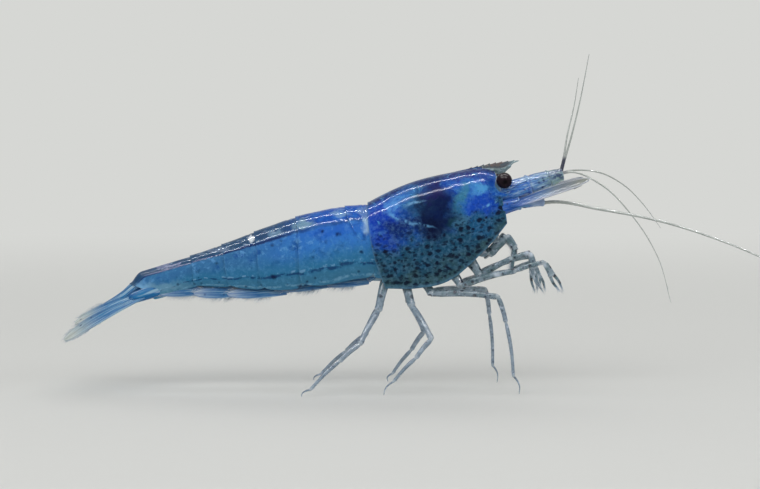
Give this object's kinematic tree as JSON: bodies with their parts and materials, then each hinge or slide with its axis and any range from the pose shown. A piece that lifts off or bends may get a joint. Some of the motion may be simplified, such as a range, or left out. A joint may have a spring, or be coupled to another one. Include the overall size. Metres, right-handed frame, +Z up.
{
  "type": "dwarf aquarium shrimp model",
  "caption": "Still life-size blue dwarf shrimp standing on its walking legs, with shell plates, claw legs, tail fan, stalked eyes and long curved feelers.",
  "frame": {"origin": "on the floor under the middle of the whole model's length and width", "axes": "+X to the head and feelers, +Y to the animal's left, +Z up"},
  "size_m": [0.0465, 0.0192, 0.0194],
  "materials": {
    "carapace_shell": "wet gloss, slightly translucent, with dark spots and paler patches",
    "abdomen_shell": "wet gloss, translucent, darker along the back",
    "rostrum_shell": "wet gloss, translucent",
    "tail_fan": "thin, translucent, whitish at the tips",
    "limb_cuticle": "translucent grey blue with sparse dark spots and pale joints",
    "feeler_cuticle": "translucent pale grey, finely ringed",
    "eye_cornea": "polished, very dark purple brown",
    "eye_stalk_cuticle": "translucent pale blue"
  },
  "bodies": {
    "root": {"carapace": "carapace_shell", "rostrum": "rostrum_shell", "abdomen_1": "abdomen_shell", "abdomen_2": "abdomen_shell", "abdomen_3": "abdomen_shell", "abdomen_4": "abdomen_shell", "abdomen_5": "abdomen_shell", "abdomen_6": "abdomen_shell", "telson": "tail_fan", "uropod_inner_right": "tail_fan", "uropod_outer_right": "tail_fan", "antennal_scale_right": "tail_fan", "swimmeret_1_right": "tail_fan", "swimmeret_2_right": "tail_fan", "swimmeret_3_right": "tail_fan", "swimmeret_4_right": "tail_fan", "swimmeret_5_right": "tail_fan", "leg_1_right": "limb_cuticle", "leg_2_right": "limb_cuticle", "leg_3_right": "limb_cuticle", "leg_4_right": "limb_cuticle", "leg_5_right": "limb_cuticle", "maxilliped_right": "limb_cuticle", "antennule_base_right": "limb_cuticle", "antenna_base_right": "limb_cuticle", "antennule_outer_right": "feeler_cuticle", "antennule_inner_right": "feeler_cuticle", "antenna_feeler_right": "feeler_cuticle", "eye_right": "eye_cornea", "eye_stalk_right": "eye_stalk_cuticle", "uropod_inner_left": "tail_fan", "uropod_outer_left": "tail_fan", "antennal_scale_left": "tail_fan", "swimmeret_1_left": "tail_fan", "swimmeret_2_left": "tail_fan", "swimmeret_3_left": "tail_fan", "swimmeret_4_left": "tail_fan", "swimmeret_5_left": "tail_fan", "leg_1_left": "limb_cuticle", "leg_2_left": "limb_cuticle", "leg_3_left": "limb_cuticle", "leg_4_left": "limb_cuticle", "leg_5_left": "limb_cuticle", "maxilliped_left": "limb_cuticle", "antennule_base_left": "limb_cuticle", "antenna_base_left": "limb_cuticle", "antennule_outer_left": "feeler_cuticle", "antennule_inner_left": "feeler_cuticle", "antenna_feeler_left": "feeler_cuticle", "eye_left": "eye_cornea", "eye_stalk_left": "eye_stalk_cuticle"}
  },
  "joints": []
}
